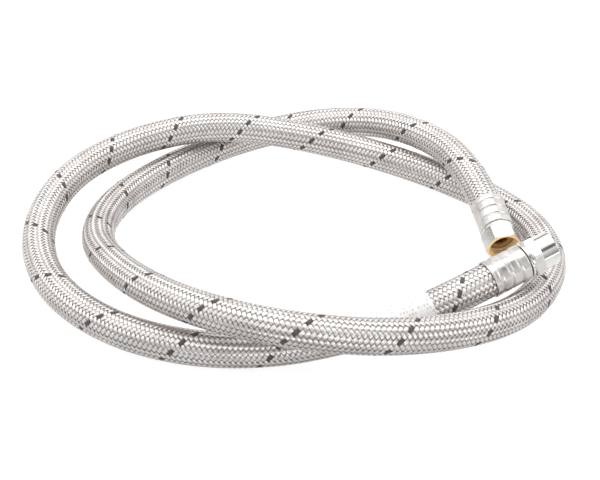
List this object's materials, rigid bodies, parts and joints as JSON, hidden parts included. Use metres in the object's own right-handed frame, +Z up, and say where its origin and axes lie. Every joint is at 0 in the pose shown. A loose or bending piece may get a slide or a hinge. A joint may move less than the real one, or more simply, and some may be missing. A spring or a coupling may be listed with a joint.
{
  "type": "braided supply line",
  "caption": "Flexible water supply hose in a woven metal braid, coiled in loose loops, with a crimped ferrule and a free-turning swivel nut at each end.",
  "frame": {"origin": "on the floor, under the middle of the bounding box of the coil", "axes": "+Z up from the floor the coil lies on, +X along the coil's longer side, towards the two fittings"},
  "size_m": [0.3022, 0.2678, 0.0493],
  "materials": {
    "liner_rubber": "matt black EPDM",
    "braid_steel": "bright drawn stainless wire, woven",
    "label_film": "satin white wrap-round film",
    "ferrule_steel": "bright stainless, pressed",
    "stem_brass": "turned",
    "washer_rubber": "matt tan",
    "nut_plated": "bright nickel plate over brass"
  },
  "bodies": {
    "hose": {"inner_liner": "liner_rubber", "braid_sleeve": "braid_steel", "identification_label": "label_film", "ferrule_a": "ferrule_steel", "ferrule_b": "ferrule_steel", "insert_stem_a": "stem_brass", "insert_stem_b": "stem_brass", "sealing_washer_a": "washer_rubber", "sealing_washer_b": "washer_rubber"},
    "nut_a": {"swivel_nut_a": "nut_plated"},
    "nut_b": {"swivel_nut_b": "nut_plated"}
  },
  "joints": [
    {"name": "nut_a_spin", "type": "hinge", "parent": "hose", "child": "nut_a", "pos_m": [0.11689, -0.00193, 0.01482], "axis": [0.1708, -0.9488, -0.2657], "continuous": true},
    {"name": "nut_b_spin", "type": "hinge", "parent": "hose", "child": "nut_b", "pos_m": [0.12055, -0.0659, 0.0366], "axis": [0.8745, 0.4036, 0.2691], "continuous": true}
  ]
}
